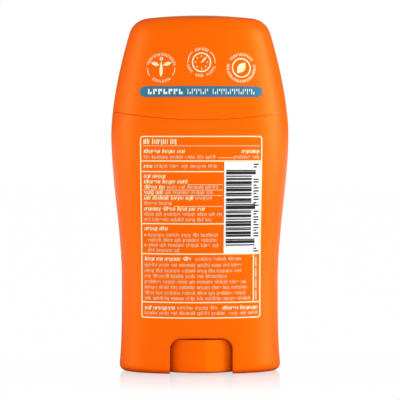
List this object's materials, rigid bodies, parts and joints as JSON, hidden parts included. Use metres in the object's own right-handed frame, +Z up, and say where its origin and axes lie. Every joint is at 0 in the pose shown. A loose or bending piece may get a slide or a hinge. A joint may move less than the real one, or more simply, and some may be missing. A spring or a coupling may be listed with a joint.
{
  "type": "deodorant stick",
  "caption": "Oval twist-up deodorant stick with a pull-off cap, a perforated applicator and a screw piston turned by a dial under the body.",
  "frame": {"origin": "centre of the foot, on the surface that the pack stands on", "axes": "+Z up, +X to the right along the width, and the printed face looks along -Y"},
  "size_m": [0.06, 0.0335, 0.12],
  "materials": {
    "shell_plastic": "satin orange polypropylene",
    "natural_plastic": "natural polypropylene",
    "cream": "soft white cream",
    "blue_ink": "printed ink",
    "cream_ink": "printed ink",
    "white_ink": "printed ink",
    "black_ink": "printed ink"
  },
  "bodies": {
    "container": {"outer_body": "shell_plastic", "canister": "natural_plastic", "applicator_head": "natural_plastic", "product": "cream", "label_lines": "cream_ink", "barcode_field": "white_ink", "barcode_bars": "black_ink"},
    "overcap": {"cap": "shell_plastic", "cap_band": "blue_ink", "band_marks": "white_ink", "cap_emblems": "cream_ink"},
    "screw": {"dial": "shell_plastic", "spindle": "natural_plastic"},
    "elevator": {"piston": "natural_plastic"}
  },
  "joints": [
    {"name": "cap_lift", "type": "slide", "parent": "container", "child": "overcap", "axis": [0, 0, 1], "range_m": [0, 0.04]},
    {"name": "dial_turn", "type": "hinge", "parent": "container", "child": "screw", "pos_m": [0, 0, 0], "axis": [0, 0, 1], "range_deg": [0, 4896]},
    {"name": "piston_rise", "type": "slide", "parent": "container", "child": "elevator", "axis": [0, 0, 1], "range_m": [0, 0.068], "deforming": ["product"]}
  ],
  "couplings": [
    {"joint": "dial_turn", "follows": "piston_rise", "rad_per_m": 1256.6}
  ]
}
